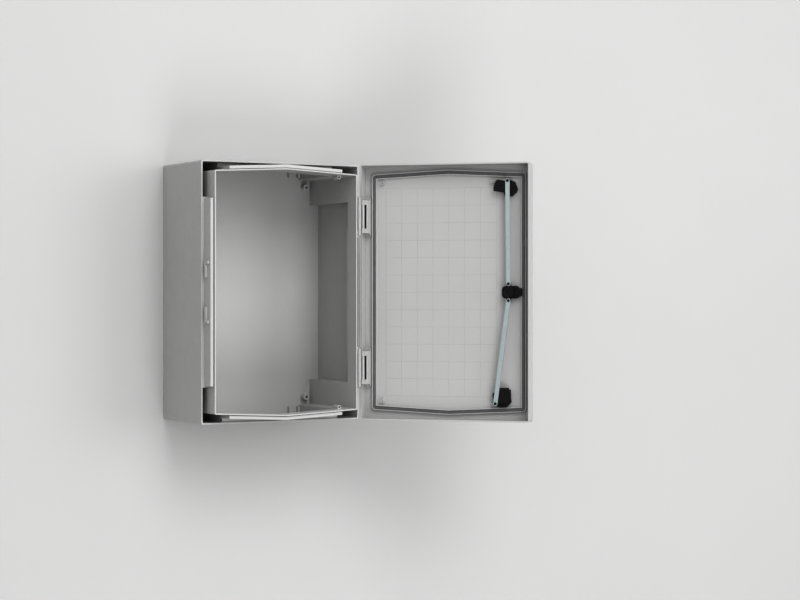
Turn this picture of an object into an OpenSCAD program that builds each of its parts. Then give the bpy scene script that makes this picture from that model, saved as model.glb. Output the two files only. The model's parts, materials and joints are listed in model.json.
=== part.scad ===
// Wall-mounted moulded polyester enclosure, drawn with its door standing open.
// X runs to the hinge side, Y runs back to the wall, Z is up. The origin lies on
// the wall plane, at the middle of the enclosure.

/* [Body] */
// Outside width of the body
body_w = 436; // [400:1:480]
// Outside height of the body
body_h = 647; // [600:1:700]
// Depth of the outer walls, from the wall plane to their front edge
body_d = 240; // [220:1:280]
// Thickness of the moulded walls
wall = 4; // [3:0.1:4.5]
// Corner radius of the outer walls
body_r = 6; // [5:0.5:9]
// Distance of the back panel from the wall plane
back_recess = 16; // [10:0.5:22]
// Thickness of the back panel
back_t = 5; // [4:0.5:7]

/* [Sealing rim] */
// How far the rim stands in front of the outer walls
rim_lead = 42; // [36:0.5:44]
// Thickness of the rim
rim_t = 3.5; // [2.5:0.1:4]
// Inset of the rim from the lock side
rim_inset_lock = 17.25; // [16.5:0.25:19]
// Inset of the rim from the hinge side
rim_inset_hinge = 26.25; // [24:0.25:28]
// Inset of the rim from the top, at its ridge
rim_inset_top = 16.5; // [16:0.25:19]
// Rise of the rim from its corners to its ridge
rim_rise = 10; // [6:0.5:13]
// Outer corner radius of the rim
rim_r = 5; // [4.5:0.5:7]
// Gap between the rim and the ledge beside it
ledge_gap = 1.2; // [1:0.1:2.5]
// Thickness of the ledge
ledge_t = 8.3; // [5:0.1:8.5]
// How far the ledge stays behind the front of the rim
ledge_setback = 4; // [4:0.5:10]

/* [Corner wells] */
// Length of each corner well along the side walls
well_side = 94.5; // [80:0.5:110]
// Length of each corner well along the top and bottom walls
well_top = 62.5; // [55:0.5:75]
// Depth of the top web behind the front edge of the walls
web_recess = 35; // [20:1:60]
// Depth of the bottom web behind the front edge of the walls
web_recess_low = 6; // [4:1:60]

/* [Fixings] */
// Distance of the wall fixing holes from the sides
fix_inset_x = 15; // [13:0.5:18]
// Distance of the wall fixing holes from the top and the bottom
fix_inset_z = 15; // [13:0.5:16]
// Diameter of the wall fixing holes
fix_d = 8.5; // [6:0.1:10]
// Distance of the mounting plate bosses from the sides of the rim
plate_inset_x = 21.25; // [18:0.25:40]
// Distance of the mounting plate bosses below the ridge of the rim
plate_inset_z = 32; // [30:0.5:60]
// Diameter of the mounting plate bosses
boss_d = 17; // [13:0.5:18]
// Height of the mounting plate bosses over the back panel
boss_h = 19; // [12:0.5:30]
// Outside diameter of the threaded inserts
insert_d = 8; // [6:0.1:9]
// Bore of the threaded inserts
insert_bore = 5; // [4:0.1:5.5]
// Length of the threaded inserts
insert_len = 12; // [8:0.5:14]
// Place across the body of the first of the small ribs at the top and the bottom of the back panel
rib_x = 126; // [100:1:130]
// Distance between the two small ribs
rib_step = 26; // [15:1:40]

/* [Door] */
// Opening angle at which the door is drawn
door_open = 136.5; // [90:0.5:178]
// How far the door stands out over the body at the lock side, the top and the bottom
door_lap = 2.5; // [0:0.25:3]
// Gap between the body and the closed door
door_gap = 2; // [1.5:0.1:3]
// Thickness of the gasket that the rim closes on
gasket_t = 5.7; // [4:0.1:7]
// Clearance between the closed rim and the gasket
gasket_play = 0.3; // [0.2:0.05:0.5]
// Clearance between the rim and the ridges beside the gasket
ridge_play = 2.25; // [1.5:0.05:2.5]
// Thickness of the ridges beside the gasket
ridge_t = 2.5; // [2:0.1:3]
// Height of the ridges over the door panel
ridge_h = 7.4; // [6.5:0.1:7.6]
// Height of the small screw posts over the door panel
post_h = 9; // [6:0.5:14]
// Diameter of the small screw posts
post_d = 9; // [7:0.5:11]

/* [Hinges] */
// Distance of the middle of each hinge from the top or the bottom of the body
hinge_inset = 131; // [110:0.5:160]
// Length of each hinge
hinge_len = 98; // [80:1:110]
// Length of each outer knuckle, on the body
knuckle_len = 16; // [12:0.5:20]
// Outside diameter of the knuckles
knuckle_d = 9; // [8.5:0.1:10]
// Diameter of the hinge pins
pin_d = 5; // [4:0.1:5.5]
// Radial clearance of a running pin
pin_play = 0.06; // [0.03:0.01:0.09]
// End clearance between knuckles
knuckle_gap = 0.5; // [0.4:0.05:1]
// Height of the hinge insert lugs over the door panel
hinge_lug_h = 44.5; // [36:0.5:44.5]
// Length of the hinge insert over its lugs
hinge_insert_len = 84; // [70:1:96]
// Diameter of the tie bar of the hinge insert
tie_d = 7; // [6:0.5:8]
// Width of the groove beside the hinge side wall
groove_w = 3; // [2:0.5:3]
// Depth of the groove beside the hinge side wall
groove_d = 10; // [6:0.5:14]

/* [Lock] */
// Distance of the lock axis from the lock side of the door
lock_inset = 55.5; // [53:0.5:58]
// Throw of the crank pins
crank_r = 21; // [20:0.25:22]
// Offset of the upper latch from the lock axis towards the hinge side
upper_shift = 2.5; // [0:0.5:6]
// Offset of the lower latch from the lock axis towards the hinge side
lower_shift = 33.5; // [30:0.5:36]
// How far a thrown latch reaches into its pocket in the rim
latch_grip = 0.8; // [0.5:0.05:0.9]
// Width of the lock rods
rod_w = 11.5; // [11:0.5:13]
// Thickness of the lock rods
rod_t = 3; // [2:0.1:4]
// Diameter of the crank pins
crank_pin_d = 5; // [4:0.1:6]
// Thickness of the crank and of the latch arms
crank_t = 4.5; // [4:0.1:6]
// Height of the lock housing and the latch bases over the door panel
base_h = 14; // [12:0.5:16]
// Clearance between sliding faces of the lock
slide_play = 0.5; // [0.4:0.05:0.8]
// Diameter of the lock barrel in the door
barrel_d = 20; // [18:0.5:24]
// Diameter of the lock shaft
shaft_d = 12; // [10:0.5:13]
// Diameter of the latch pivots
pivot_d = 8; // [6:0.5:9]
// Reach of the upper latch paddle
upper_reach = 36.5; // [34:0.25:38]
// Reach of the lower latch paddle
lower_reach = 38; // [36:0.25:38.5]
// Depth of the pockets in the rim that the latches turn into
pocket_d = 2; // [1.8:0.1:2.2]
// Length of the pockets in the rim
pocket_len = 40; // [30:1:50]

/* [Keepers] */
// Height of the far end of each keeper from the middle
keeper_far = 76; // [60:1:100]
// Height of the near end of each keeper from the middle
keeper_near = 36; // [20:1:50]
// Width of the arms of the keepers
keeper_w = 7; // [5:0.5:10]
// Clearance between the keepers and the skirt of the closed door
keeper_play = 1.45; // [1.3:0.05:3]

/* [Hidden] */
$fn = 48;
arc_steps = 5;
// A cut runs past a face by this much
over = 1;

// Body planes and the outline of the rim
side_x = body_w / 2;
top_z = body_h / 2;
inner_x = side_x - wall;
inner_z = top_z - wall;
back_y = -back_recess - back_t;
front_y = -body_d;
web_y = front_y + wall;
rim_y = front_y - rim_lead;
ledge_y = rim_y + ledge_setback;
rim_half = (body_w - rim_inset_lock - rim_inset_hinge) / 2;
rim_x = (rim_inset_lock - rim_inset_hinge) / 2;
rim_top = top_z - rim_inset_top;
rim_slope = rim_rise / rim_half;
slope_angle = atan(rim_slope);
rim_lean = sqrt(1 + rim_slope * rim_slope);
bay_z = top_z - well_side;
bay_half = side_x - well_top;
web_top_y = front_y + web_recess;
web_low_y = front_y + web_recess_low;

// Door planes, for the closed door
hinge_x = side_x + door_gap / 2;
hinge_y = front_y - door_gap / 2;
door_y = front_y - door_gap;
panel_y = rim_y - gasket_t - gasket_play;
door_face_y = panel_y - wall;
door_top = top_z + door_lap;
door_lock_x = -side_x - door_lap;
post_bore = 3;

// Levels of the lock over the door panel
stub_lo = ridge_h + slide_play;
crank_lo = base_h + slide_play;
crank_hi = crank_lo + crank_t;
rod_lo = crank_hi + slide_play;
rod_hi = rod_lo + rod_t;
lock_x = lock_inset - side_x;
rod_bore = crank_pin_d + 2 * pin_play;
ear_d = rod_w + 1;
hub_d = 2 * (crank_r - rod_w / 2 - slide_play) - 1;
upper_x = lock_x + upper_shift;
lower_x = lock_x + lower_shift;
upper_pivot = [upper_x, gable_z(-rim_t, upper_x - rim_x) + latch_grip - upper_reach];
lower_pivot = [lower_x, lower_reach - latch_grip - gable_z(-rim_t, lower_x - rim_x)];
bezel_t = 5;

// Places of the screw posts on the door and of the stay bosses in the body
post_x = [rim_x + rim_half - 24, lower_x + 11];
post_z = rim_top - 28;
stay_x = rim_x + rim_half - 36;

// Spacings of the fixings
fix_dx = body_w - 2 * fix_inset_x;
fix_dz = body_h - 2 * fix_inset_z;
plate_dx = 2 * (rim_half - plate_inset_x);
plate_dz = 2 * (rim_top - plate_inset_z);
hinge_z = top_z - hinge_inset;

// Points of an arc from angle a0 to angle a1
function arc(c, r, a0, a1) =
    [for (i = [0 : arc_steps]) let (a = a0 + (a1 - a0) * i / arc_steps) c + r * [cos(a), sin(a)]];

// Rectangle with round corners
function round_rect(x0, x1, z0, z1, r) = concat(
    arc([x1 - r, z1 - r], r, 0, 90), arc([x0 + r, z1 - r], r, 90, 180),
    arc([x0 + r, z0 + r], r, 180, 270), arc([x1 - r, z0 + r], r, 270, 360));

// Height of the outline of the rim, grown by g, at a distance x from its middle
function gable_z(g, x) = rim_top + g - rim_slope * abs(x);

// Outline of the rim grown by g, with a low ridge at its top and at its bottom
function gable(g) = let (
    r = max(rim_r + g, 1), w = rim_half + g, cx = w - r, cz = gable_z(g, cx) - r * rim_lean, s = slope_angle)
    [for (p = concat(
        arc([cx, cz], r, 0, 90 - s), [[0, gable_z(g, 0)]], arc([-cx, cz], r, 90 + s, 180),
        arc([-cx, -cz], r, 180, 270 - s), [[0, -gable_z(g, 0)]], arc([cx, -cz], r, 270 + s, 360)))
        p + [rim_x, 0]];

// Upright outline in X and Z, drawn from y_back forward to y_front
module slab(points, y_back, y_front)
    translate([0, y_back, 0]) rotate([90, 0, 0]) linear_extrude(y_back - y_front) polygon(points);

// Box between two corners
module span(a, b) translate(a) cube(b - a);

// Cylinder along Y between two planes
module rod_y(x, z, d, y_back, y_front)
    translate([x, y_back, z]) rotate([90, 0, 0]) cylinder(d = d, h = y_back - y_front);

// Ring between two grown outlines of the rim
module rim_ring(g_out, g_in, y_back, y_front)
    difference() {
        slab(gable(g_out), y_back, y_front);
        slab(gable(g_in), y_back + over, y_front - over);
    }

// Same part at the four corners of a pattern
module four(dx, dz, x = 0)
    for (sx = [-1, 1], sz = [-1, 1]) translate([x + sx * dx / 2, 0, sz * dz / 2]) children();

// Outer walls and the recessed back panel
module outer_walls() {
    outer = round_rect(-side_x, side_x, -top_z, top_z, body_r);
    difference() {
        slab(outer, 0, front_y);
        slab(round_rect(-inner_x, inner_x, -inner_z, inner_z, body_r - wall), over, front_y - over);
    }
    slab(round_rect(-inner_x - 1, inner_x + 1, -inner_z - 1, inner_z + 1, body_r - wall + 1),
        -back_recess, back_y);
}

// Sealing rim, opened behind the webs into the side, top and bottom bays
module rim_tube() {
    difference() {
        rim_ring(0, -rim_t, back_y + over, rim_y);
        span([-inner_x, web_y, -bay_z], [inner_x, back_y, bay_z]);
        span([-bay_half, web_top_y + wall, 0], [bay_half, back_y, inner_z]);
        span([-bay_half, web_low_y + wall, -inner_z], [bay_half, back_y, 0]);
    }
}

// Walls of the corner wells: webs at the front and partitions beside them
module well_walls() {
    for (s = [-1, 1]) {
        // Web between the rim and the side wall
        span([s > 0 ? rim_x + rim_half - rim_t / 2 : -inner_x - 1, front_y, -bay_z - wall],
            [s > 0 ? inner_x + 1 : rim_x - rim_half + rim_t / 2, web_y, bay_z + wall]);
        // Partitions at the ends of the side bays
        for (z = [bay_z, -bay_z - wall])
            span([s > 0 ? rim_x + rim_half - rim_t / 2 : -inner_x - 1, front_y, z],
                [s > 0 ? inner_x + 1 : rim_x - rim_half + rim_t / 2, back_y + over, z + wall]);
    }
    // Recessed webs at the top and the bottom, with the partitions at their ends
    difference() {
        for (s = [-1, 1]) mirror([0, 0, s > 0 ? 0 : 1]) {
            y = s > 0 ? web_top_y : web_low_y;
            span([-bay_half - wall, y, 0], [bay_half + wall, y + wall, inner_z + 1]);
            for (x = [-bay_half - wall, bay_half])
                span([x, y, 0], [x + wall, back_y + over, inner_z + 1]);
        }
        slab(gable(-rim_t / 2), back_y + 2 * over, front_y - over);
    }
}

// Ledge beside the rim, at the lock side, the top and the bottom
module ledges() {
    intersection() {
        rim_ring(ledge_gap + ledge_t, ledge_gap, web_top_y + wall / 2, ledge_y);
        union() {
            span([-side_x, ledge_y - over, -bay_z], [rim_x - rim_half, web_y - wall / 2, bay_z]);
            span([rim_x - bay_half, ledge_y - over, 0], [rim_x + bay_half, web_top_y + wall, top_z]);
            span([rim_x - bay_half, ledge_y - over, -top_z], [rim_x + bay_half, web_low_y + wall / 2, 0]);
        }
    }
}

// L-shaped keepers on the side of the ledge
module keepers() {
    keeper_out = door_lock_x + wall + keeper_play;
    keeper_x = rim_x - rim_half - ledge_gap - ledge_t;
    for (s = [0, 1]) mirror([0, 0, s]) {
        span([keeper_out, ledge_y + keeper_w, keeper_far - keeper_w],
            [keeper_x + 1, ledge_y + 4 * keeper_w, keeper_far]);
        span([keeper_out, ledge_y + 2.7 * keeper_w, keeper_near],
            [keeper_x + 1, ledge_y + 4 * keeper_w, keeper_far]);
    }
}

// Pockets behind the lip of the rim, where the latches turn in
module pockets() {
    pocket_y = panel_y + crank_lo - 1.5;
    for (p = [upper_pivot, lower_pivot])
        intersection() {
            rim_ring(pocket_d - rim_t, -rim_t - over, panel_y + crank_hi + 3, pocket_y);
            span([p[0] - pocket_len / 2, pocket_y - over, p[1] > 0 ? 0 : -top_z],
                [p[0] + pocket_len / 2, panel_y + crank_hi + 4, p[1] > 0 ? top_z : 0]);
        }
}

// Groove beside the hinge side wall, between the hinges
module hinge_groove() {
    groove_z = hinge_z - hinge_len / 2 - 4;
    span([inner_x - 0.5, front_y - over, -groove_z], [inner_x - 0.5 + groove_w, front_y + groove_d, groove_z]);
}

// Small screw bosses under and over the rim opening, at the hinge side
module stay_bosses() {
    stay_d = 11;
    for (s = [0, 1]) mirror([0, 0, s])
        difference() {
            translate([stay_x, 0, gable_z(-rim_t, stay_x - rim_x)]) {
                rod_y(0, -stay_d / 2 + 1, stay_d, web_y + 8, web_y - 16);
                span([-stay_d / 2, web_y - 16, -stay_d / 2 + 1], [stay_d / 2, web_y + 8, 1.5]);
            }
            translate([stay_x, 0, gable_z(-rim_t, stay_x - rim_x)])
                rod_y(0, -stay_d / 2 + 1, 4.5, web_y, web_y - 16 - over);
        }
}

// Knuckles of one hinge on the body or on the door, as a list of [start, length]
function body_knuckles(z) = [[z - hinge_len / 2, knuckle_len], [z + hinge_len / 2 - knuckle_len, knuckle_len]];
function door_knuckle(z) = [[z - hinge_len / 2 + knuckle_len + knuckle_gap,
    hinge_len - 2 * knuckle_len - 2 * knuckle_gap]];

module knuckles(list, d, grow = 0)
    for (k = list) translate([hinge_x, hinge_y, k[0] - grow]) cylinder(d = d, h = k[1] + 2 * grow);

module body_shell() color("lightgray")
    difference() {
        union() {
            outer_walls();
            rim_tube();
            well_walls();
            ledges();
            keepers();
            stay_bosses();
            // Thicker web behind the hinges
            span([rim_x + rim_half - rim_t / 2, web_y - 1, -bay_z * 0.7],
                [inner_x + 1, front_y + groove_d + wall, bay_z * 0.7]);
            // Bosses of the mounting plate
            four(plate_dx, plate_dz, rim_x) rod_y(0, 0, boss_d, back_y + 1, back_y - boss_h);
            // Small ribs at the top and the bottom of the back panel
            for (x = [rib_x, rib_x + rib_step], s = [0, 1]) mirror([0, 0, s])
                span([x - 3, back_y - 12, inner_z - 19.5], [x + 3, back_y + 1, inner_z + 1]);
            // Pads that meet the wall at the fixing holes
            for (sx = [-1, 1], sz = [-1, 1])
                span([sx > 0 ? fix_dx / 2 - 16 : -inner_x - 1, -back_recess - 1,
                    sz > 0 ? fix_dz / 2 - 16 : -inner_z - 1],
                    [sx > 0 ? inner_x + 1 : 16 - fix_dx / 2, 0, sz > 0 ? inner_z + 1 : 16 - fix_dz / 2]);
            for (s = [-1, 1]) knuckles(body_knuckles(s * hinge_z), knuckle_d);
        }
        pockets();
        hinge_groove();
        four(fix_dx, fix_dz) rod_y(0, 0, fix_d, over, back_y - over);
        four(plate_dx, plate_dz, rim_x)
            rod_y(0, 0, insert_d, back_y - boss_h + insert_len, back_y - boss_h - over);
        for (s = [-1, 1]) {
            knuckles(body_knuckles(s * hinge_z), pin_d, over);
            knuckles(door_knuckle(s * hinge_z), knuckle_d + 2 * knuckle_gap, knuckle_gap);
        }
    }

module threaded_inserts() color("darkgray")
    four(plate_dx, plate_dz, rim_x)
        difference() {
            rod_y(0, 0, insert_d, back_y - boss_h + insert_len, back_y - boss_h);
            rod_y(0, 0, insert_bore, back_y - boss_h + insert_len - 2, back_y - boss_h - over);
        }

// Turns what is drawn for the closed door to its drawn opening
module on_door()
    translate([hinge_x, hinge_y, 0]) rotate([0, 0, door_open]) translate([-hinge_x, -hinge_y, 0]) children();

module door_panel() color("lightgray") on_door()
    difference() {
        union() {
            // Tray: panel and skirt
            difference() {
                slab(round_rect(door_lock_x, side_x, -door_top, door_top, body_r), door_y, door_face_y);
                slab(round_rect(door_lock_x + wall, inner_x, wall - door_top, door_top - wall, body_r - wall),
                    door_y + over, panel_y);
            }
            // Ridges on both sides of the gasket
            rim_ring(ridge_play + ridge_t, ridge_play, panel_y + ridge_h, panel_y - 1);
            rim_ring(-rim_t - ridge_play, -rim_t - ridge_play - ridge_t, panel_y + ridge_h, panel_y - 1);
            for (x = post_x, s = [-1, 1]) rod_y(x, s * post_z, post_d, panel_y + post_h, panel_y - 1);
            for (s = [-1, 1]) knuckles(door_knuckle(s * hinge_z), knuckle_d);
        }
        for (x = post_x, s = [-1, 1]) rod_y(x, s * post_z, post_bore, panel_y + post_h + over, panel_y + 1);
        rod_y(lock_x, 0, barrel_d + 2 * slide_play, panel_y + over, door_face_y - over);
        for (s = [-1, 1]) {
            knuckles(door_knuckle(s * hinge_z), pin_d + 2 * pin_play, over);
            knuckles(body_knuckles(s * hinge_z), knuckle_d + 2 * knuckle_gap, knuckle_gap);
        }
    }

module door_gasket() color("dimgray") on_door()
    rim_ring(ridge_play - 0.1, -rim_t - ridge_play + 0.1, panel_y + gasket_t, panel_y);

// Insert that backs one hinge on the door: a foot, two lugs with gussets, a tie bar and a rib
module hinge_insert(z) {
    foot_x0 = inner_x - 15.25;
    lug_x1 = inner_x - 0.5;
    lug_t = 12;
    foot_t = 2;
    rib_t = 2;
    gusset_t = 1.5;
    gusset_h = hinge_lug_h - 24;
    flare = 9;
    half = hinge_insert_len / 2;
    tie_y = panel_y + hinge_lug_h - tie_d / 2;
    span([foot_x0, panel_y, z - half - flare], [lug_x1, panel_y + foot_t, z + half + flare]);
    for (s = [-1, 1]) translate([0, 0, z]) mirror([0, 0, s > 0 ? 0 : 1]) {
        span([foot_x0, panel_y, half - lug_t], [lug_x1, panel_y + hinge_lug_h, half]);
        // Gussets that flare from the lug to the end of the foot
        for (x = [foot_x0, lug_x1 - gusset_t]) translate([x, panel_y, half])
            rotate([90, 0, 90]) linear_extrude(gusset_t)
                polygon([[0, -1], [gusset_h, -1], [gusset_h, 0], [foot_t, flare], [0, flare]]);
    }
    translate([lug_x1 - tie_d / 2, tie_y, z - half + 1]) cylinder(d = tie_d, h = hinge_insert_len - 2);
    span([foot_x0, panel_y, z - half + 1], [foot_x0 + rib_t, panel_y + hinge_lug_h, z + half - 1]);
}

module upper_hinge_insert() color("gainsboro") on_door() hinge_insert(hinge_z);
module lower_hinge_insert() color("gainsboro") on_door() hinge_insert(-hinge_z);

module hinge_pin(z) translate([hinge_x, hinge_y, z - hinge_len / 2]) cylinder(d = pin_d, h = hinge_len);

module upper_hinge_pin() color("silver") hinge_pin(hinge_z);
module lower_hinge_pin() color("silver") hinge_pin(-hinge_z);

// Fixed housing of the lock with its side stub and its barrel through the door
module lock_housing() color("#202020") on_door()
    difference() {
        union() {
            slab(round_rect(lock_x - 26, lock_x + 18, -16, 16, 10), panel_y + base_h, panel_y);
            slab(round_rect(lock_x - 33, lock_x - 15, -10, 10, 3), panel_y + base_h, panel_y + stub_lo);
            rod_y(lock_x, 0, barrel_d, panel_y + 1, door_face_y - bezel_t + 1);
        }
        rod_y(lock_x, 0, shaft_d + 2 * pin_play, panel_y + base_h + over, door_face_y - bezel_t - over);
    }

module lock_bezel() color("#202020") on_door()
    translate([lock_x, door_face_y, 0]) rotate([90, 0, 0])
        rotate_extrude()
            polygon([[barrel_d / 2 + 0.05, 0], [17, 0], [17, 2], [14.5, bezel_t], [barrel_d / 2 + 0.05, bezel_t]]);

// Crank with its hub, its two pins and the shaft to the key insert
module lock_rotor() color("#202020") on_door() {
    slab(concat(arc([lock_x, crank_r], ear_d / 2, 0, 180), arc([lock_x, -crank_r], ear_d / 2, 180, 360)),
        panel_y + crank_hi, panel_y + crank_lo);
    rod_y(lock_x, 0, hub_d, panel_y + rod_hi + 2, panel_y + crank_lo);
    rod_y(lock_x, 0, shaft_d, panel_y + crank_lo + 1, door_face_y - 1);
    for (s = [-1, 1]) rod_y(lock_x, s * crank_r, crank_pin_d, panel_y + rod_hi, panel_y + crank_lo + 1);
}

// Key insert with its two-bit post, in the outer end of the barrel
module key_insert() color("silver") on_door()
    difference() {
        rod_y(lock_x, 0, shaft_d, door_face_y - 1, door_face_y - bezel_t + 0.5);
        difference() {
            rod_y(lock_x, 0, 9, door_face_y - 2, door_face_y - bezel_t - over);
            rod_y(lock_x, 0, 4.5, door_face_y, door_face_y - bezel_t - 2 * over);
            span([lock_x - 3.6, door_face_y - bezel_t - 2 * over, -0.9], [lock_x + 3.6, door_face_y, 0.9]);
        }
    }

// Flat rod between two pin centres
module rod(a, b) {
    tilt = atan2(b[1] - a[1], b[0] - a[0]);
    difference() {
        slab(concat(arc(a, rod_w / 2, tilt + 90, tilt + 270), arc(b, rod_w / 2, tilt - 90, tilt + 90)),
            panel_y + rod_hi, panel_y + rod_lo);
        for (p = [a, b]) rod_y(p[0], p[1], rod_bore, panel_y + rod_hi + over, panel_y + rod_lo - over);
    }
}

module upper_rod() color("lightsteelblue") on_door() rod([lock_x, crank_r], upper_pivot + [0, crank_r]);
module lower_rod() color("lightsteelblue") on_door() rod([lock_x, -crank_r], lower_pivot - [0, crank_r]);

// Base of a latch: an outline at the pivot, with the bore of the pivot
module latch_base(pivot, points)
    difference() {
        slab([for (p = points) p + pivot], panel_y + base_h, panel_y);
        rod_y(pivot[0], pivot[1], pivot_d, panel_y + base_h + over, panel_y + 4);
    }

module upper_latch_base() color("#202020") on_door()
    latch_base(upper_pivot,
        [[8, -18], [-10, -18], [-15, -12], [-21, -8], [-23.5, 0], [-17.5, 17], [-8, 22], [9, 14], [11, -8]]);
module lower_latch_base() color("#202020") on_door()
    latch_base(lower_pivot,
        [[-2, 12], [-36, 14], [-38, -18], [-26, -30], [-10, -31], [2, -26], [3, -14], [5.5, -8], [5.5, 6]]);

module latch_pivot(pivot) rod_y(pivot[0], pivot[1], pivot_d, panel_y + crank_hi, panel_y + 4);

module upper_latch_pivot() color("silver") on_door() latch_pivot(upper_pivot);
module lower_latch_pivot() color("silver") on_door() latch_pivot(lower_pivot);

// Latch arm: hub, crank ear with its pin and a paddle of the given reach. inner and outer are
// the lower and upper edge of the paddle at the pivot and at its end. side is 1 for the upper
// arm and -1 for the lower one, which is turned half round.
module latch_arm(pivot, reach, inner, outer, side)
    difference() {
        union() {
            rod_y(pivot[0], pivot[1], 2 * pivot_d, panel_y + crank_hi, panel_y + crank_lo);
            slab([for (p = concat(arc([0, crank_r], ear_d / 2, 0, 180), [[-ear_d / 2, 0], [ear_d / 2, 0]]))
                pivot + side * p],
                panel_y + crank_hi, panel_y + crank_lo);
            slab([for (p = concat([[0, inner[1]], [0, inner[0]]],
                arc([0, 0], reach, asin(outer[0] / reach), asin(outer[1] / reach)))) pivot + side * p],
                panel_y + crank_hi, panel_y + crank_lo);
            rod_y(pivot[0], pivot[1] + side * crank_r, crank_pin_d, panel_y + rod_hi, panel_y + crank_lo + 1);
        }
        rod_y(pivot[0], pivot[1], pivot_d + 2 * pin_play, panel_y + crank_hi + over, panel_y + crank_lo - over);
    }

module upper_latch() color("#202020") on_door()
    latch_arm(upper_pivot, upper_reach, [-10.3, 19.3], [-4.6, 24.2], 1);
module lower_latch() color("#202020") on_door() latch_arm(lower_pivot, lower_reach, [-19, 20], [-19, 20], -1);

body_shell();
threaded_inserts();
door_panel();
door_gasket();
upper_hinge_insert();
lower_hinge_insert();
upper_hinge_pin();
lower_hinge_pin();
lock_housing();
lock_bezel();
lock_rotor();
key_insert();
upper_rod();
lower_rod();
upper_latch_base();
lower_latch_base();
upper_latch_pivot();
lower_latch_pivot();
upper_latch();
lower_latch();
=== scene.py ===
"""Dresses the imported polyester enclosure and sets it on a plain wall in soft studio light.

The solids of the frame give every rigid form. This script rounds their moulded edges, adds the
small forms that are finer than the solids (marking grid, screws, rivet heads), gives every
surface its finish, and sets up the wall, the floor, the lights and the camera.
"""

from __future__ import annotations

import json
import logging
import math
from collections.abc import Callable, Sequence
from dataclasses import dataclass, field
from enum import Enum

import bpy
from mathutils import Matrix, Vector

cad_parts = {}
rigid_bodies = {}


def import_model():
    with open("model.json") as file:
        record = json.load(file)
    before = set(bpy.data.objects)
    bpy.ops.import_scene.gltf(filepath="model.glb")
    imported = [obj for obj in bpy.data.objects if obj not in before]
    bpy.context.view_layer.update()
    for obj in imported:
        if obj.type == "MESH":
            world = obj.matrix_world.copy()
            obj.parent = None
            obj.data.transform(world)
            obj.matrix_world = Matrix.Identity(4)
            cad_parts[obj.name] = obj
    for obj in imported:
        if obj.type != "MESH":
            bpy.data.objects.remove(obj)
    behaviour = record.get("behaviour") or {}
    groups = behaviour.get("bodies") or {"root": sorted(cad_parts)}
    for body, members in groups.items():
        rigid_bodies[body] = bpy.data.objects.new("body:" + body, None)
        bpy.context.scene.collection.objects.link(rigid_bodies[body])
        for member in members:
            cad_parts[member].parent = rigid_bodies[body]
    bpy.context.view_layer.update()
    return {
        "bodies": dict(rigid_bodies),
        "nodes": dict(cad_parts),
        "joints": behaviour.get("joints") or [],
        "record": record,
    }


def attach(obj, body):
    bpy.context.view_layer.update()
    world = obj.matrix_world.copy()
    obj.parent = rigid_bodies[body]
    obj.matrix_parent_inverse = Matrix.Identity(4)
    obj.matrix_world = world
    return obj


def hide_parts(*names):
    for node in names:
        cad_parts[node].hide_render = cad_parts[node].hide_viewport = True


LOG = logging.getLogger("enclosure")
MM = 0.001
# Scale of the broad ripple of a moulded surface, as a share of that of its fine grain
BROAD_SHARE = 0.04
# Cells of the foam stand out by this many times the height of its grain
CELL_HEIGHT = 2.0


class Body(Enum):
    """Moving bodies of the enclosure that a piece can ride on."""

    CABINET = "body"
    DOOR = "door"
    LOCK = "lock"
    UPPER_ROD = "upper_rod"
    LOWER_ROD = "lower_rod"
    UPPER_LATCH = "upper_latch"
    LOWER_LATCH = "lower_latch"


class Slot(Enum):
    """Material slots of the record."""

    POLYESTER = "polyester"
    GASKET = "gasket"
    HINGE_PLASTIC = "hinge_plastic"
    STEEL = "steel"
    BLACK_PLASTIC = "black_plastic"


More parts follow.
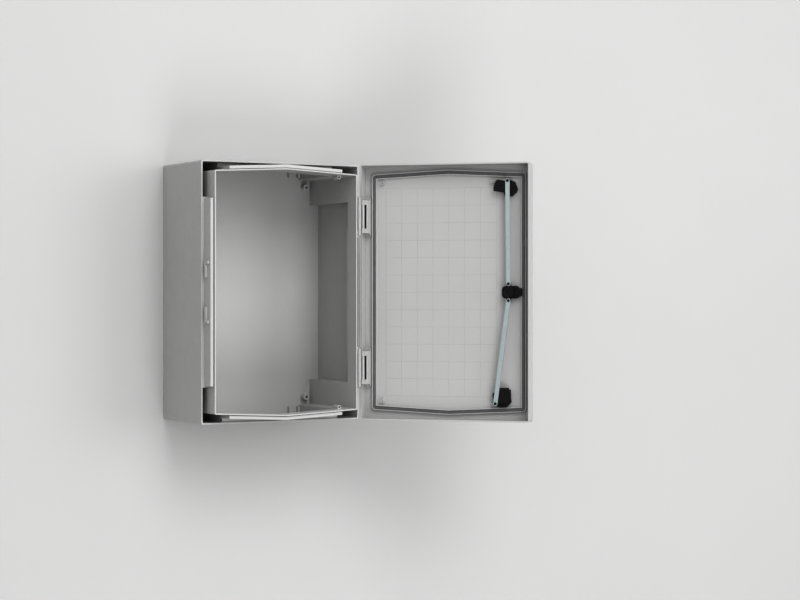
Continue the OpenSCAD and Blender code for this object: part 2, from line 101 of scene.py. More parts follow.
class Bench:
    """Work on meshes as by hand. Each call starts from a cleared selection."""

    @staticmethod
    def clear() -> None:
        """Deselects every object."""
        bpy.ops.object.select_all(action="DESELECT")

    @staticmethod
    def pick(obj: bpy.types.Object) -> None:
        """Makes one object the only selected one, and the active one.

        Args:
            obj: Object to work on.
        """
        Bench.clear()
        obj.select_set(True)
        bpy.context.view_layer.objects.active = obj

    @staticmethod
    def open_faces(obj: bpy.types.Object, test: Callable[[bpy.types.MeshPolygon], bool]) -> None:
        """Opens a mesh for editing with only the faces selected that pass a test.

        Args:
            obj: Object to edit.
            test: Says of a face whether it is selected.
        """
        Bench.pick(obj)
        bpy.ops.object.mode_set(mode="EDIT")
        bpy.ops.mesh.select_mode(type="FACE")
        bpy.ops.mesh.select_all(action="DESELECT")
        bpy.ops.object.mode_set(mode="OBJECT")
        for face in obj.data.polygons:
            face.select = test(face)
        bpy.ops.object.mode_set(mode="EDIT")

    @staticmethod
    def close() -> None:
        """Goes back from editing a mesh to working on objects."""
        bpy.ops.object.mode_set(mode="OBJECT")

    @staticmethod
    def modify(obj: bpy.types.Object, kind: str, **settings: object) -> None:
        """Adds one modifier, sets it and applies it.

        Args:
            obj: Object to modify.
            kind: Type of the modifier.
            **settings: Values of the modifier's properties.
        """
        Bench.pick(obj)
        bpy.ops.object.modifier_add(type=kind)
        modifier = obj.modifiers[-1]
        for key, value in settings.items():
            setattr(modifier, key, value)
        bpy.ops.object.modifier_apply(modifier=modifier.name)

    @staticmethod
    def cut(obj: bpy.types.Object, cutter: bpy.types.Object) -> None:
        """Cuts one mesh out of another and removes the cutter.

        Args:
            obj: Object that is cut.
            cutter: Closed mesh that is taken away.
        """
        Bench.modify(obj, "BOOLEAN", operation="DIFFERENCE", solver="EXACT", object=cutter)
        bpy.data.objects.remove(cutter)

    @staticmethod
    def round_edges(
        obj: bpy.types.Object, width: float, segments: int, over: float = 35.0, clamp: bool = False
    ) -> None:
        """Rounds the sharp edges of a mesh and shades it smooth up to the same angle.

        Args:
            obj: Object to round.
            width: Width of the rounding, in millimetres.
            segments: Number of faces across the rounding.
            over: Angle from which an edge counts as sharp, in degrees.
            clamp: Whether the rounding is kept narrow enough for the shortest edges.
        """
        Bench.modify(
            obj, "BEVEL", width=width * MM, segments=segments, limit_method="ANGLE",
            angle_limit=math.radians(over), use_clamp_overlap=clamp, miter_outer="MITER_ARC",
        )
        Bench.smooth(obj, over)
        Bench.modify(obj, "WEIGHTED_NORMAL", mode="FACE_AREA", weight=100, keep_sharp=True)

    @staticmethod
    def smooth(obj: bpy.types.Object, angle: float = 35.0) -> None:
        """Shades a mesh smooth where its faces meet at less than an angle in degrees."""
        Bench.pick(obj)
        bpy.ops.object.shade_smooth_by_angle(angle=math.radians(angle))

    @staticmethod
    def tidy(obj: bpy.types.Object, flat: float = 0.0, convex: bool = False) -> None:
        """Merges doubled points and, if asked, the triangles of each flat face.

        Args:
            obj: Object to clean.
            flat: Largest angle between faces that are merged, in degrees.
            convex: Whether merged faces are split into convex ones, so that none bridges an opening.
        """
        Bench.open_faces(obj, lambda face: True)
        bpy.ops.mesh.remove_doubles(threshold=1e-6)
        if flat:
            bpy.ops.mesh.dissolve_limited(angle_limit=math.radians(flat))
        if convex:
            bpy.ops.mesh.vert_connect_concave()
        Bench.close()

    @staticmethod
    def outward(obj: bpy.types.Object) -> None:
        """Turns all faces of a closed mesh outwards."""
        Bench.open_faces(obj, lambda face: True)
        bpy.ops.mesh.normals_make_consistent(inside=False)
        Bench.close()

    @staticmethod
    def copy(obj: bpy.types.Object, name: str) -> bpy.types.Object:
        """Copies an object with a mesh of its own.

        Args:
            obj: Object to copy.
            name: Name of the copy.

        Returns:
            The copy, at the origin.
        """
        twin = bpy.data.objects.new(name, obj.data.copy())
        bpy.context.scene.collection.objects.link(twin)
        return twin

    @staticmethod
    def settle(obj: bpy.types.Object, matrix: Matrix | None = None) -> None:
        """Puts an object's place into its mesh, and then moves the mesh by a matrix.

        Args:
            obj: Object to settle.
            matrix: Move that follows, or None.
        """
        Bench.pick(obj)
        bpy.ops.object.transform_apply(location=True, rotation=True, scale=True)
        if matrix is not None:
            obj.data.transform(matrix)
            obj.data.update()


class Shader:
    """Small helper that builds node trees from left to right."""

    def __init__(self, tree: bpy.types.NodeTree) -> None:
        """Keeps the tree that nodes are added to."""
        self.tree = tree

    def add(self, kind: str, values: dict[str, object] | None = None, **settings: object) -> bpy.types.Node:
        """Adds a node, sets its properties, and fills or links its inputs.

        Args:
            kind: Type of the node.
            values: Input values or output sockets to link, by input name or number.
            **settings: Properties of the node.

        Returns:
            The node.
        """
        node = self.tree.nodes.new(kind)
        for key, value in settings.items():
            setattr(node, key, value)
        for key, value in (values or {}).items():
            socket = node.inputs[key]
            if isinstance(value, bpy.types.NodeSocket):
                self.tree.links.new(value, socket)
            else:
                socket.default_value = value
        return node

    def math(self, operation: str, a: object, b: object = 0.5) -> bpy.types.NodeSocket:
        """Adds a Math node and returns its output."""
        return self.add("ShaderNodeMath", {0: a, 1: b}, operation=operation).outputs[0]

    def span(
        self, value: object, low: float, high: float, to_low: float, to_high: float
    ) -> bpy.types.NodeSocket:
        """Maps a value from one range to another, clamped, and returns the result.

        Args:
            value: Value or socket to map.
            low: Start of the range read.
            high: End of the range read.
            to_low: Start of the range given.
            to_high: End of the range given.

        Returns:
            Output socket with the mapped value.
        """
        node = self.add(
            "ShaderNodeMapRange",
            {"Value": value, "From Min": low, "From Max": high, "To Min": to_low, "To Max": to_high},
        )
        return node.outputs["Result"]

    def tint(self, blend: str, factor: object, a: object, b: object) -> bpy.types.NodeSocket:
        """Mixes two colours and returns the result.

        Args:
            blend: Blend type of the Mix node.
            factor: Share of the second colour.
            a: First colour.
            b: Second colour.

        Returns:
            Output socket with the mixed colour.
        """
        node = self.add("ShaderNodeMix", {0: factor, 6: a, 7: b}, data_type="RGBA", blend_type=blend)
        return node.outputs[2]


class Effects:
    """Shader node groups that several finishes share. Each is built once."""

    def __init__(self) -> None:
        """Builds the groups."""
        self.drift = self._tone_drift()
        self.grain = self._moulded_grain()
        self.strands = self._chopped_strands()
        self.rubs = self._handling_rubs()

    @staticmethod
    def _start(
        name: str, inputs: dict[str, object], outputs: dict[str, str]
    ) -> tuple[Shader, dict[str, bpy.types.NodeSocket], bpy.types.Node]:
        """Starts a group with named sockets.

        Args:
            name: Name of the group.
            inputs: Default value of each input, or None for a vector.
            outputs: Socket type of each output.

        Returns:
            The helper for the group's tree, its input sockets by name, and its output node.
        """
        tree = bpy.data.node_groups.new(name, "ShaderNodeTree")
        for key, value in inputs.items():
            kind = "NodeSocketVector" if value is None else "NodeSocketFloat"
            kind = "NodeSocketColor" if isinstance(value, tuple) else kind
            socket = tree.interface.new_socket(key, in_out="INPUT", socket_type=kind)
            if value is not None:
                socket.default_value = value
        for key, kind in outputs.items():
            tree.interface.new_socket(key, in_out="OUTPUT", socket_type=kind)
        shader = Shader(tree)
        source = shader.add("NodeGroupInput")
        return shader, {s.name: s for s in source.outputs}, shader.add("NodeGroupOutput")

    def _tone_drift(self) -> bpy.types.NodeTree:
        """Builds the slow change of tone over a large moulding.

        Returns:
            The group, with a Color output.
        """
        shader, given, end = self._start(
            "Tone drift",
            {"Vector": None, "Color": (0.5, 0.5, 0.5, 1.0), "Scale": 6.0, "Amount": 0.05},
            {"Color": "NodeSocketColor"},
        )
        cloud = shader.add(
            "ShaderNodeTexNoise",
            {"Vector": given["Vector"], "Scale": given["Scale"], "Detail": 4.0, "Roughness": 0.55},
        )
        swing = shader.math("SUBTRACT", shader.math("MULTIPLY", cloud.outputs[0], 2.0), 1.0)
        level = shader.math("ADD", shader.math("MULTIPLY", swing, given["Amount"]), 1.0)
        grey = shader.add("ShaderNodeCombineColor", {0: level, 1: level, 2: level}).outputs[0]
        shader.tree.links.new(shader.tint("MULTIPLY", 1.0, given["Color"], grey), end.inputs["Color"])
        return shader.tree

    def _moulded_grain(self) -> bpy.types.NodeTree:
        """Builds the fine grain that a mould leaves on a surface.

        Returns:
            The group, with a Height output.
        """
        shader, given, end = self._start(
            "Moulded grain",
            {"Vector": None, "Scale": 700.0, "Ripple": 0.35},
            {"Height": "NodeSocketFloat"},
        )
        fine = shader.add(
            "ShaderNodeTexNoise",
            {"Vector": given["Vector"], "Scale": given["Scale"], "Detail": 3.0, "Roughness": 0.6},
        )
        broad = shader.add(
            "ShaderNodeTexNoise",
            {
                "Vector": given["Vector"],
                "Scale": shader.math("MULTIPLY", given["Scale"], BROAD_SHARE),
                "Detail": 2.0,
            },
        )
        wave = shader.math("MULTIPLY", broad.outputs[0], given["Ripple"])
        shader.tree.links.new(shader.math("ADD", fine.outputs[0], wave), end.inputs["Height"])
        return shader.tree

    def _chopped_strands(self) -> bpy.types.NodeTree:
        """Builds the faint chopped fibres that show through a glass-filled moulding.

        Returns:
            The group, with a Mask output.
        """
        shader, given, end = self._start(
            "Chopped strands",
            {"Vector": None, "Scale": 60.0, "Density": 0.5},
            {"Mask": "NodeSocketFloat"},
        )
        masks = []
        for turn, stretch in ((0.5, 9.0), (1.7, 11.0), (2.6, 8.0)):
            turned = shader.add(
                "ShaderNodeVectorRotate",
                {"Vector": given["Vector"], "Axis": (0.4, 0.8, 0.45), "Angle": turn},
                rotation_type="AXIS_ANGLE",
            )
            drawn = shader.add(
                "ShaderNodeVectorMath",
                {0: turned.outputs[0], 1: (stretch, 1.0, stretch)},
                operation="MULTIPLY",
            )
            cells = shader.add(
                "ShaderNodeTexNoise",
                {"Vector": drawn.outputs[0], "Scale": given["Scale"], "Detail": 1.0},
            )
            masks.append(shader.span(cells.outputs[0], 0.62, 0.74, 0.0, 1.0))
        most = shader.math("MAXIMUM", shader.math("MAXIMUM", masks[0], masks[1]), masks[2])
        shader.tree.links.new(shader.math("MULTIPLY", most, given["Density"]), end.inputs["Mask"])
        return shader.tree

    def _handling_rubs(self) -> bpy.types.NodeTree:
        """Builds soft patches and fine scratches where a part has been handled.

        Returns:
            The group, with a Mask output.
        """
        shader, given, end = self._start(
            "Handling rubs",
            {"Vector": None, "Scale": 40.0, "Scratches": 0.5},
            {"Mask": "NodeSocketFloat"},
        )
        patch = shader.add(
            "ShaderNodeTexNoise",
            {"Vector": given["Vector"], "Scale": given["Scale"], "Detail": 5.0, "Roughness": 0.65},
        )
        drawn = shader.add(
            "ShaderNodeVectorMath", {0: given["Vector"], 1: (1.0, 14.0, 14.0)}, operation="MULTIPLY"
        )
        lines = shader.add(
            "ShaderNodeTexNoise",
            {"Vector": drawn.outputs[0], "Scale": given["Scale"], "Detail": 4.0, "Distortion": 0.6},
        )
        fine = shader.span(lines.outputs[0], 0.6, 0.72, 0.0, 1.0)
        marks = shader.math("MULTIPLY", fine, given["Scratches"])
        soft = shader.span(patch.outputs[0], 0.35, 0.7, 0.0, 1.0)
        shader.tree.links.new(shader.math("MAXIMUM", soft, marks), end.inputs["Mask"])
        return shader.tree


@dataclass(frozen=True)
class Finish:
    """One finish: a Principled surface with drifting tone, grain and rubbed patches."""

    name: str
    slot: Slot | None
    colour: tuple[float, float, float]
    roughness: tuple[float, float]
    drift_scale: float = 6.0
    drift: float = 0.05
    grain_scale: float = 700.0
    grain_depth: float = 0.02
    ripple: float = 0.35
    strands: float = 0.0
    strand_scale: float = 60.0
    strand_colour: tuple[float, float, float] = (0.7, 0.7, 0.7)
    rub_scale: float = 40.0
    scratches: float = 0.4
    metallic: float = 0.0
    specular: float = 0.5
    cells: float = 0.0
    clear_behind: bool = False

    def material(self, effects: Effects) -> bpy.types.Material:
        """Builds the material once and gives it back on later calls.

        Args:
            effects: Shared node groups.

        Returns:
            The material.
        """
        known = bpy.data.materials.get(self.name)
        if known is not None:
            return known
        made = bpy.data.materials.new(self.name)
        made.use_nodes = True
        made.diffuse_color = (*self.colour, 1.0)
        made.node_tree.nodes.clear()
        shader = Shader(made.node_tree)
        place = shader.add("ShaderNodeTexCoord").outputs["Object"]
        colour = self._colour(shader, place, effects)
        rubs = self._group(shader, effects.rubs, Vector=place, Scale=self.rub_scale, Scratches=self.scratches)
        rough = shader.span(rubs, 0.0, 1.0, self.roughness[0], self.roughness[1])
        height = self._height(shader, place, effects)
        bump = shader.add(
            "ShaderNodeBump", {"Height": height, "Strength": 1.0, "Distance": self.grain_depth * MM}
        )
        surface = shader.add(
            "ShaderNodeBsdfPrincipled",
            {
                "Base Color": colour,
                "Roughness": rough,
                "Normal": bump.outputs[0],
                "Metallic": self.metallic,
                "Specular IOR Level": self.specular,
            },
        )
        seen = surface.outputs[0]
        if self.clear_behind:
            behind = shader.add("ShaderNodeNewGeometry").outputs["Backfacing"]
            clear = shader.add("ShaderNodeBsdfTransparent").outputs[0]
            seen = shader.add("ShaderNodeMixShader", {0: behind, 1: seen, 2: clear}).outputs[0]
        shader.add("ShaderNodeOutputMaterial", {"Surface": seen})
        return made

    @staticmethod
    def _group(shader: Shader, group: bpy.types.NodeTree, **values: object) -> bpy.types.NodeSocket:
        """Places a shared group and returns its only output.

        Args:
            shader: Helper of the material's tree.
            group: Shared group.
            **values: Values or sockets for its inputs.

        Returns:
            The group's output socket.
        """
        return shader.add("ShaderNodeGroup", values, node_tree=group).outputs[0]

    def _colour(self, shader: Shader, place: bpy.types.NodeSocket, effects: Effects) -> bpy.types.NodeSocket:
        """Builds the colour of the surface.

        Args:
            shader: Helper of the material's tree.
            place: Object coordinates.
            effects: Shared node groups.

        Returns:
            Output socket with the colour.
        """
        tone = self._group(
            shader, effects.drift, Vector=place, Color=(*self.colour, 1.0),
            Scale=self.drift_scale, Amount=self.drift,
        )
        if not self.strands:
            return tone
        mask = self._group(
            shader, effects.strands, Vector=place, Scale=self.strand_scale, Density=self.strands
        )
        return shader.tint("MIX", mask, tone, (*self.strand_colour, 1.0))

    def _height(self, shader: Shader, place: bpy.types.NodeSocket, effects: Effects) -> bpy.types.NodeSocket:
        """Builds the height that the bump reads.

        Args:
            shader: Helper of the material's tree.
            place: Object coordinates.
            effects: Shared node groups.

        Returns:
            Output socket with the height.
        """
        grain = self._group(shader, effects.grain, Vector=place, Scale=self.grain_scale, Ripple=self.ripple)
        if not self.cells:
            return grain
        foam = shader.add("ShaderNodeTexVoronoi", {"Vector": place, "Scale": self.cells}, feature="SMOOTH_F1")
        return shader.math("ADD", grain, shader.math("MULTIPLY", foam.outputs["Distance"], CELL_HEIGHT))


POLYESTER = Finish(
    "Glass filled polyester", Slot.POLYESTER, (0.375, 0.375, 0.373), (0.42, 0.6),
    drift_scale=5.0, drift=0.045, grain_scale=650.0, grain_depth=0.03, strands=0.16, strand_scale=38.0,
    strand_colour=(0.43, 0.43, 0.428), rub_scale=22.0, scratches=0.3, specular=0.45,
)
# The marking lines are a shade darker than the polyester: painted shade that stands in for the shade in
# engraved grooves.
MARK_LINES_PAINTED_SHADE = Finish(
    "Marking lines with painted groove shade", Slot.POLYESTER, (0.338, 0.338, 0.336), (0.5, 0.66),
    drift_scale=9.0, drift=0.12, grain_scale=650.0, grain_depth=0.03, rub_scale=22.0, scratches=0.3,
    specular=0.4,
)
FOAM = Finish(
    "Foamed gasket", Slot.GASKET, (0.13, 0.13, 0.133), (0.78, 0.95), drift_scale=60.0, drift=0.25,
    grain_scale=1500.0, grain_depth=0.12, ripple=0.6, rub_scale=90.0, scratches=0.1, specular=0.3,
    cells=1400.0,
)
HINGE_POLYAMIDE = Finish(
    "Hinge polyamide", Slot.HINGE_PLASTIC, (0.43, 0.43, 0.428), (0.34, 0.5), drift_scale=20.0, drift=0.04,
    grain_scale=900.0, grain_depth=0.015, strands=0.1, strand_scale=90.0, strand_colour=(0.5, 0.5, 0.498),
    rub_scale=60.0, scratches=0.3,
)
ZINC = Finish(
    "Zinc plated steel", Slot.STEEL, (0.39, 0.436, 0.443), (0.36, 0.58), drift_scale=90.0, drift=0.09,
    grain_scale=1200.0, grain_depth=0.008, rub_scale=120.0, scratches=0.8, metallic=0.82,
)
BLACK_POLYAMIDE = Finish(
    "Black polyamide", Slot.BLACK_PLASTIC, (0.006, 0.006, 0.0062), (0.42, 0.62), drift_scale=30.0, drift=0.3,
    grain_scale=1100.0, grain_depth=0.02, strands=0.12, strand_scale=120.0,
    strand_colour=(0.012, 0.012, 0.0125), rub_scale=70.0, scratches=0.5, specular=0.2,
)
WALL_PAINT = Finish(
    "Painted wall", None, (0.415, 0.415, 0.414), (0.7, 0.85), drift_scale=1.2, drift=0.02, grain_scale=160.0,
    grain_depth=0.12, ripple=0.5, rub_scale=4.0, scratches=0.0, specular=0.25, clear_behind=True,
)
PALE_FLOOR = Finish(
    "Pale floor", None, (0.42, 0.42, 0.418), (0.55, 0.75), drift_scale=2.0, drift=0.03, grain_scale=200.0,
    grain_depth=0.05, rub_scale=6.0, scratches=0.0, specular=0.3,
)


@dataclass
class DoorPlace:
    """Where the door stands: pieces drawn for the closed door are turned to it."""

    hinge: Vector
    opened: float
    panel_y: float = -288.0

    @classmethod
    def from_frame(cls, frame: dict) -> DoorPlace:
        """Reads the hinge line and the drawn opening from the frame's door joint.


        Returns:
            The place of the door.
        """
        swing = next(j for j in frame["joints"] if j["name"] == "door_swing")
        return cls(Vector(swing["pos_m"]), -math.radians(swing["range_deg"][0]))

    def turn(self) -> Matrix:
        """Returns the turn from the closed door to the door as it is drawn."""
        there = Matrix.Translation(self.hinge)
        return there @ Matrix.Rotation(self.opened, 4, "Z") @ there.inverted()

    def spot(self, x: float, z: float, height: float) -> Matrix:
        """Gives the place of a piece that was modelled at the origin with its top up.

        Args:
            x: Place across the closed door, in millimetres.
            z: Place up the door, in millimetres.
            height: Height over the inside of the door panel, in millimetres.

        Returns:
            The matrix that puts the piece there.
        """
        put = Matrix.Translation(Vector((x, self.panel_y + height, z)) * MM)
        return self.turn() @ put @ Matrix.Rotation(math.radians(-90.0), 4, "X")


@dataclass
class Workshop:
    """What every sub-assembly needs: the frame, the shared effects and the place of the door."""

    frame: dict
    effects: Effects
    door: DoorPlace

    def hand_over(self, piece: bpy.types.Object, body: Body, finish: Finish, *nodes: str) -> bpy.types.Object:
        """Gives a piece its finish and its body, and hides the CAD nodes that it stands for.

        Args:
            piece: Finished piece.
            body: Body that it rides on.
            finish: Finish of its surface.
            *nodes: CAD nodes that it replaces.

        Returns:
            The piece.
        """
        piece.data.materials.clear()
        piece.data.materials.append(finish.material(self.effects))
        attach(piece, body.value)
        if nodes:
            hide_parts(*nodes)
        LOG.info("%s: %d faces on %s, %s", piece.name, len(piece.data.polygons), body.value, finish.name)
        return piece

    def solid(self, node: str, flat: float = 0.4, convex: bool = False) -> bpy.types.Object:
        """Copies a CAD node as one clean mesh to work on.

        Args:
            node: Name of the CAD node.
            flat: Largest angle between triangles that are merged, in degrees.
            convex: Whether its flat faces are made convex.

        Returns:
            The copy.
        """
        copy = Bench.copy(self.frame["nodes"][node], f"{node}_dressed")
        Bench.tidy(copy, flat, convex)
        return copy

    def moulding(
        self, node: str, body: Body, finish: Finish, edge: float, segments: int = 2
    ) -> bpy.types.Object:
        """Dresses a CAD node whose form is right: rounds its edges and gives it its finish.

        Args:
            node: Name of the CAD node.
            body: Body that it rides on.
            finish: Finish of its surface.
            edge: Width of the rounding of its edges, in millimetres.
            segments: Number of faces across the rounding.

        Returns:
            The dressed piece.
        """
        piece = self.solid(node)
        Bench.round_edges(piece, edge, segments)
        return self.hand_over(piece, body, finish, node)


@dataclass
class Cabinet:
    """Moulded body that hangs on the wall, with its inserts and hinge pins."""

    shop: Workshop
    edge: float = 0.7
    thread_edge: float = 0.35
    pin_edge: float = 0.5

    def build(self) -> None:
        """Dresses the solids of the cabinet."""
        shell = self.shop.solid("body_shell", convex=True)
        Bench.round_edges(shell, self.edge, 2)
        self.shop.hand_over(shell, Body.CABINET, POLYESTER, "body_shell")
        self.shop.moulding("threaded_inserts", Body.CABINET, ZINC, self.thread_edge)
        for node in ("upper_hinge_pin", "lower_hinge_pin"):
            self.shop.moulding(node, Body.CABINET, ZINC, self.pin_edge)


@dataclass
class Door:
    """Door tray with its gasket, hinge inserts and marking grid. Sizes are in millimetres."""

    shop: Workshop
    edge: float = 0.35
    gasket_edge: float = 1.9
    insert_edge: float = 0.5
    grid_x: float = 16.1
    grid_pitch: tuple[float, float] = (41.2, 44.2)
    grid_cells: tuple[int, int] = (7, 12)
    grid_line: float = 1.3
    grid_rise: float = 0.2

    def build(self) -> None:
        """Dresses the solids of the door and adds its marking grid."""
        shop = self.shop
        shop.moulding("door_panel", Body.DOOR, POLYESTER, self.edge)
        shop.moulding("door_gasket", Body.DOOR, FOAM, self.gasket_edge, 4)
        for node in ("upper_hinge_insert", "lower_hinge_insert"):
            insert = shop.solid(node)
            Bench.round_edges(insert, self.insert_edge, 2, clamp=True)
            shop.hand_over(insert, Body.DOOR, HINGE_POLYAMIDE, node)
        self.marking_grid()

    def marking_grid(self) -> None:
        """Models the moulded lines that mark out the inside of the panel for cut-outs."""
        width = self.grid_pitch[0] * self.grid_cells[0]
        height = self.grid_pitch[1] * self.grid_cells[1]
        Bench.clear()
        bpy.ops.mesh.primitive_grid_add(
            x_subdivisions=self.grid_cells[0], y_subdivisions=self.grid_cells[1], size=MM, location=(0, 0, 0)
        )
        grid = bpy.context.object
        grid.name = "door_marking_grid"
        grid.scale = (width, height, 1.0)
        Bench.settle(grid)
        Bench.modify(
            grid, "WIREFRAME", thickness=self.grid_line * MM, use_boundary=True,
            use_even_offset=True, use_replace=True,
        )
        Bench.pick(grid)
        grid.scale = (1.0, 1.0, 2.0 * self.grid_rise / self.grid_line)
        Bench.settle(grid, self.shop.door.spot(self.grid_x, 0.0, 0.0))
        Bench.smooth(grid, 25.0)
        # The darker finish of the lines is painted shade of engraved grooves, put on raised strips.
        self.shop.hand_over(grid, Body.DOOR, MARK_LINES_PAINTED_SHADE)


@dataclass
class Screw:
    """Countersunk fixing screw with a cross recess. Sizes are in millimetres."""

    head: float = 6.2
    depth: float = 2.4
    crown: float = 0.5
    crown_rises: tuple[float, ...] = (0.33, 0.18, 0.03)
    ring: float = 0.19
    edge: float = 0.15
    slot_width: float = 1.0
    slot_length: float = 3.7
    slot_depth: float = 1.3
    slot_taper: float = 0.62

    def model(self) -> bpy.types.Object:
        """Models one screw head at the origin, with its rim at the level of zero.

        Returns:
            The screw head.
        """
        Bench.clear()
        bpy.ops.mesh.primitive_cylinder_add(
            vertices=40, radius=self.head / 2 * MM, depth=self.depth * MM,
            location=(0, 0, -self.depth / 2 * MM),
        )
        head = bpy.context.object
        Bench.settle(head)
        Bench.open_faces(head, lambda face: face.normal.z > 0.9)
        for rise in self.crown_rises:
            bpy.ops.mesh.inset(thickness=self.ring * self.head / 2 * MM)
            bpy.ops.transform.translate(value=(0, 0, self.crown * rise * MM))
        Bench.close()
        Bench.cut(head, self.cross())
        Bench.round_edges(head, self.edge, 2, 40.0)
        return head

    def cross(self) -> bpy.types.Object:
        """Models the tapered cross that is cut out of the head.

        Returns:
            The cutter.
        """
        Bench.clear()
        bpy.ops.mesh.primitive_cube_add(size=MM, location=(0, 0, 0))
        core = bpy.context.object
        core.scale = (self.slot_width, self.slot_width, 2.0 * self.slot_depth)
        Bench.settle(core)
        Bench.open_faces(core, lambda face: abs(face.normal.z) < 0.5)
        arm = (self.slot_length - self.slot_width) / 2 * MM
        bpy.ops.mesh.extrude_faces_move(TRANSFORM_OT_shrink_fatten={"value": arm})
        Bench.close()
        Bench.open_faces(core, lambda face: face.normal.z < -0.5)
        bpy.ops.transform.resize(
            value=(self.slot_taper, self.slot_taper, 1.0), center_override=(0.0, 0.0, -self.slot_depth * MM)
        )
        Bench.close()
        Bench.outward(core)
        return core


@dataclass
class RodLock:
    """Lock in the door that drives two rods and two latches. Sizes are in millimetres."""

    shop: Workshop
    lock_x: float = -162.5
    crank_r: float = 21.0
    upper_pivot: tuple[float, float] = (-160.0, 259.88)
    lower_pivot: tuple[float, float] = (-129.0, -259.96)
    base_top: float = 14.0
    rod_top: float = 22.5
    hub_top: float = 24.5
    hub_d: float = 28.5
    dish_rim: float = 3.0
    dish_depth: float = 1.2
    dish_tool: float = 3.0
    dish_taper: float = 0.9
    rivet_d: float = 7.4
    rivet_h: float = 1.3
    rivet_foot: float = 0.6
    rivet_lift: float = 0.4
    rivet_rises: tuple[float, ...] = (0.35, 0.22, 0.1)
    rivet_ring: float = 0.22
    rivet_edge: float = 0.2
    sink: float = 0.35
    rotor_sink: float = 0.2
    well_d: float = 6.6
    well_depth: float = 2.2
    edge: float = 0.6
    rod_edge: float = 0.35
    pin_edge: float = 0.5
    key_edge: float = 0.2
    screw: Screw = field(default_factory=Screw)
    housing_screws: tuple[tuple[float, float], ...] = ((-20.0, 9.0), (-20.0, -9.0), (12.5, 9.0), (12.5, -9.0))
    upper_screws: tuple[tuple[float, float], ...] = ((-16.0, 3.0), (2.5, -12.0))
    lower_screws: tuple[tuple[float, float], ...] = ((-18.0, -25.0), (-30.5, 4.0))

    def build(self) -> None:
        """Dresses the lock, the rods and the latches and adds their small parts."""
        shop = self.shop
        head = self.screw.model()
        self.screwed("lock_housing", (self.lock_x, 0.0), self.housing_screws, head)
        self.screwed("upper_latch_base", self.upper_pivot, self.upper_screws, head)
        self.screwed("lower_latch_base", self.lower_pivot, self.lower_screws, head)
        shop.moulding("lock_bezel", Body.DOOR, BLACK_POLYAMIDE, self.pin_edge)
        shop.moulding("key_insert", Body.LOCK, ZINC, self.key_edge)
        self.rotor(head)
        shop.moulding("upper_rod", Body.UPPER_ROD, ZINC, self.rod_edge)
        shop.moulding("lower_rod", Body.LOWER_ROD, ZINC, self.rod_edge)
        for node in ("upper_latch_pivot", "lower_latch_pivot"):
            shop.moulding(node, Body.DOOR, ZINC, self.pin_edge)
        shop.moulding("upper_latch", Body.UPPER_LATCH, BLACK_POLYAMIDE, self.edge)
        shop.moulding("lower_latch", Body.LOWER_LATCH, BLACK_POLYAMIDE, self.edge)
        self.rivets()
        bpy.data.objects.remove(head)

    def screwed(
        self, node: str, origin: tuple[float, float], places: Sequence[tuple[float, float]],
        head: bpy.types.Object,
    ) -> None:
        """Dresses a base, sinks its screw holes and sets the screws in them.

        Args:
            node: Name of the CAD node.
            origin: Place on the door that the screws are measured from.
            places: Offsets of the screws.
            head: Screw head to copy.
        """
        base = self.shop.solid(node)
        screws = []
        for number, (dx, dz) in enumerate(places):
            x, z = origin[0] + dx, origin[1] + dz
            Bench.cut(base, self.well(x, z))
            screw = Bench.copy(head, f"{node}_screw_{number + 1}")
            Bench.settle(screw, self.shop.door.spot(x, z, self.base_top - self.sink))
            screws.append(screw)
        Bench.tidy(base, 0.4)
        Bench.round_edges(base, self.edge, 2)
        self.shop.hand_over(base, Body.DOOR, BLACK_POLYAMIDE, node)
        for screw in screws:
            self.shop.hand_over(screw, Body.DOOR, BLACK_POLYAMIDE)

    def well(self, x: float, z: float) -> bpy.types.Object:
        """Models the round hole that a screw is sunk in.

        Args:
            x: Place across the closed door.
            z: Place up the door.

        Returns:
            The cutter.
        """
        Bench.clear()
        bpy.ops.mesh.primitive_cylinder_add(
            vertices=40, radius=self.well_d / 2 * MM, depth=2 * self.well_depth * MM, location=(0, 0, 0)
        )
        cutter = bpy.context.object
        Bench.settle(cutter, self.shop.door.spot(x, z, self.base_top))
        return cutter

    def rotor(self, head: bpy.types.Object) -> None:
        """Dresses the crank: dishes its hub and sets a screw in the dish.

        Args:
            head: Screw head to copy.
        """
        shop = self.shop
        rotor = shop.solid("lock_rotor")
        Bench.clear()
        bpy.ops.mesh.primitive_cylinder_add(
            vertices=64, radius=(self.hub_d / 2 - self.dish_rim) * MM, depth=self.dish_tool * MM,
            location=(0, 0, 0),
        )
        dish = bpy.context.object
        Bench.settle(dish)
        Bench.open_faces(dish, lambda face: face.normal.z < -0.9)
        bpy.ops.transform.resize(
            value=(self.dish_taper, self.dish_taper, 1.0),
            center_override=(0.0, 0.0, -self.dish_tool / 2 * MM),
        )
        Bench.close()
        rise = self.dish_tool / 2 - self.dish_depth
        Bench.settle(dish, shop.door.spot(self.lock_x, 0.0, self.hub_top + rise))
        Bench.cut(rotor, dish)
        Bench.tidy(rotor, 0.4)
        Bench.round_edges(rotor, self.edge, 2)
        shop.hand_over(rotor, Body.LOCK, BLACK_POLYAMIDE, "lock_rotor")
        screw = Bench.copy(head, "lock_rotor_screw")
        Bench.settle(screw, shop.door.spot(self.lock_x, 0.0, self.hub_top - self.rotor_sink))
        shop.hand_over(screw, Body.LOCK, BLACK_POLYAMIDE)

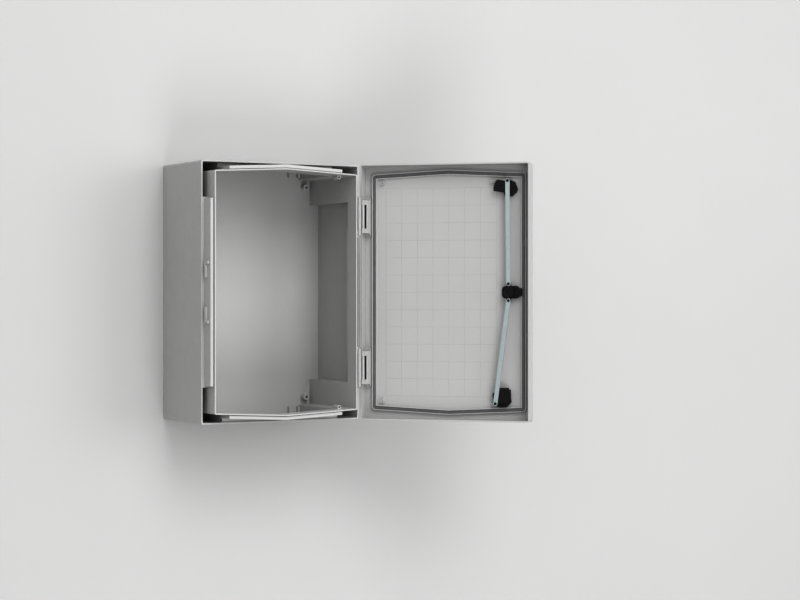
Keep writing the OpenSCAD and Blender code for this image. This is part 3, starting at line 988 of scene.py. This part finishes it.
    def rivets(self) -> None:
        """Sets a domed head on each pin that holds an eye of a rod."""
        Bench.clear()
        bpy.ops.mesh.primitive_cylinder_add(
            vertices=40, radius=self.rivet_d / 2 * MM, depth=self.rivet_foot * MM,
            location=(0, 0, self.rivet_lift * MM),
        )
        dome = bpy.context.object
        Bench.settle(dome)
        Bench.open_faces(dome, lambda face: face.normal.z > 0.9)
        for rise in self.rivet_rises:
            bpy.ops.mesh.inset(thickness=self.rivet_ring * self.rivet_d / 2 * MM)
            bpy.ops.transform.translate(value=(0, 0, rise * self.rivet_h * MM))
        Bench.close()
        Bench.round_edges(dome, self.rivet_edge, 2, 50.0)
        ends = (
            ("upper_crank_rivet", self.lock_x, self.crank_r, Body.LOCK),
            ("lower_crank_rivet", self.lock_x, -self.crank_r, Body.LOCK),
            ("upper_latch_rivet", self.upper_pivot[0], self.upper_pivot[1] + self.crank_r, Body.UPPER_LATCH),
            ("lower_latch_rivet", self.lower_pivot[0], self.lower_pivot[1] - self.crank_r, Body.LOWER_LATCH),
        )
        for name, x, z, body in ends:
            rivet = Bench.copy(dome, name)
            Bench.settle(rivet, self.shop.door.spot(x, z, self.rod_top))
            self.shop.hand_over(rivet, body, BLACK_POLYAMIDE)
        bpy.data.objects.remove(dome)


@dataclass
class Lamp:
    """One soft area light. Sizes are in metres."""

    name: str
    place: tuple[float, float, float]
    target: tuple[float, float, float]
    size: float
    power: float

    def build(self) -> None:
        """Adds the light and turns it to its target."""
        Bench.clear()
        bpy.ops.object.light_add(type="AREA", location=self.place)
        light = bpy.context.object
        light.name = self.name
        light.data.shape = "DISK"
        light.data.size = self.size
        light.data.energy = self.power
        aim = Vector(self.target) - Vector(self.place)
        light.rotation_euler = aim.to_track_quat("-Z", "Y").to_euler()


@dataclass
class Studio:
    """Wall, floor, soft light and camera at the photograph's angle. Sizes are in metres, _px in pixels."""

    shop: Workshop
    camera_place: tuple[float, float, float] = (-2.0999, -4.5358, 0.0)
    camera_yaw: float = -29.586
    sensor_mm: float = 36.0
    focal_px: float = 1914.1
    frame_px: float = 800.0
    shift_px: float = -7.8
    room: float = 14.0
    floor_size: float = 80.0
    floor_z: float = -5.2
    wall_top: float = 5.4
    wall_gap: float = 0.0002
    opening: tuple[float, float] = (0.432, 0.643)
    ambient: float = 1.31
    gamma: float = 0.72
    lamps: tuple[Lamp, ...] = (
        Lamp("Upper softbox", (-0.2, -4.7, 3.3), (0.1, -0.1, 0.0), 3.0, 150.0),
        Lamp("Lower softbox", (-0.2, -4.7, -3.1), (0.1, -0.1, 0.0), 3.0, 130.0),
        Lamp("Right softbox", (3.2, -4.2, 0.6), (0.1, -0.1, 0.0), 3.0, 80.0),
        Lamp("Top softbox", (0.0, -3.0, 4.2), (0.1, -0.1, 0.0), 3.0, 12.0),
        Lamp("Back softbox", (-1.8, 4.2, 1.4), (0.0, 0.0, 0.0), 3.0, 60.0),
    )

    def build(self) -> None:
        """Sets up the room."""
        self.backdrop()
        for lamp in self.lamps:
            lamp.build()
        self.world()
        self.camera()

    def backdrop(self) -> None:
        """Adds the floor and the wall, which is clear from behind so that the back can be looked at."""
        Bench.clear()
        bpy.ops.mesh.primitive_plane_add(size=self.floor_size, location=(0, 0, self.floor_z))
        floor = bpy.context.object
        floor.name = "Studio_floor"
        Bench.settle(floor)
        floor.data.materials.append(PALE_FLOOR.material(self.shop.effects))
        wall = self.wall()
        wall.data.materials.append(WALL_PAINT.material(self.shop.effects))

    def wall(self) -> bpy.types.Object:
        """Models the wall, with an opening that the back of the cabinet covers and gets its light through.

        Returns:
            The wall.
        """
        cells = 3
        Bench.clear()
        bpy.ops.mesh.primitive_grid_add(
            x_subdivisions=cells, y_subdivisions=cells, size=cells, location=(0, self.wall_gap, 0),
            rotation=(math.radians(90.0), 0.0, 0.0),
        )
        wall = bpy.context.object
        wall.name = "Studio_wall"
        Bench.settle(wall)
        across = (-self.room / 2, -self.opening[0] / 2, self.opening[0] / 2, self.room / 2)
        up = (self.floor_z, -self.opening[1] / 2, self.opening[1] / 2, self.wall_top)
        for point in wall.data.vertices:
            point.co.x = across[round(point.co.x + cells / 2)]
            point.co.z = up[round(point.co.z + cells / 2)]
        Bench.open_faces(wall, lambda face: face.center.length < self.wall_gap * 2)
        bpy.ops.mesh.delete(type="FACE")
        Bench.close()
        return wall

    def world(self) -> None:
        """Gives the room its even ambient light."""
        world = bpy.data.worlds.new("Studio air")
        bpy.context.scene.world = world
        world.use_nodes = True
        air = world.node_tree.nodes["Background"]
        air.inputs["Color"].default_value = (1.0, 1.0, 1.0, 1.0)
        air.inputs["Strength"].default_value = self.ambient

    def camera(self) -> None:
        """Adds the camera."""
        Bench.clear()
        bpy.ops.object.camera_add(
            location=self.camera_place, rotation=(math.radians(90.0), 0.0, math.radians(self.camera_yaw))
        )
        camera = bpy.context.object
        camera.name = "Studio_camera"
        camera.data.sensor_width = self.sensor_mm
        camera.data.lens = self.focal_px * self.sensor_mm / self.frame_px
        camera.data.shift_y = self.shift_px / self.frame_px
        camera.data.clip_end = 100.0
        bpy.context.scene.camera = camera
        bpy.context.scene.view_settings.view_transform = "Standard"
        bpy.context.scene.view_settings.gamma = self.gamma


def main() -> None:
    """Builds the enclosure piece by piece, then the studio."""
    logging.basicConfig(level=logging.INFO, format="%(name)s: %(message)s")
    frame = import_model()
    shop = Workshop(frame, Effects(), DoorPlace.from_frame(frame))
    Cabinet(shop).build()
    Door(shop).build()
    RodLock(shop).build()
    Studio(shop).build()
    Bench.clear()


if __name__ == "__main__":
    main()
